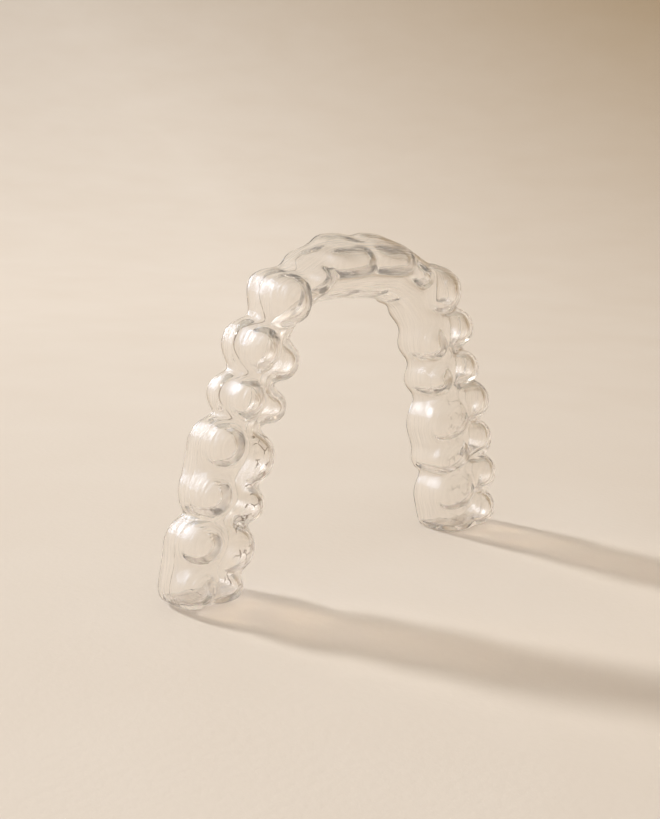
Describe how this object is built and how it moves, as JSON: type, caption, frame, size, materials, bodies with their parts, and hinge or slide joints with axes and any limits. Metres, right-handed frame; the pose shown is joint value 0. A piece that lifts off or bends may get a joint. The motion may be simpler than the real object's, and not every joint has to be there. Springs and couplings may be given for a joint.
{
  "type": "clear dental aligner",
  "caption": "Thin clear plastic shell shaped over an upper row of teeth, standing on its two ends with the arch upright.",
  "frame": {"origin": "middle of the shell's footprint, on the surface that its two distal ends stand on", "axes": "+Z from the distal ends to the front teeth, -Y out of the closed biting side, +X across the arch"},
  "size_m": [0.0592, 0.008, 0.042],
  "materials": {
    "clear_plastic": "clear thermoformed sheet, glossy"
  },
  "bodies": {
    "root": {"aligner_shell": "clear_plastic"}
  },
  "joints": []
}
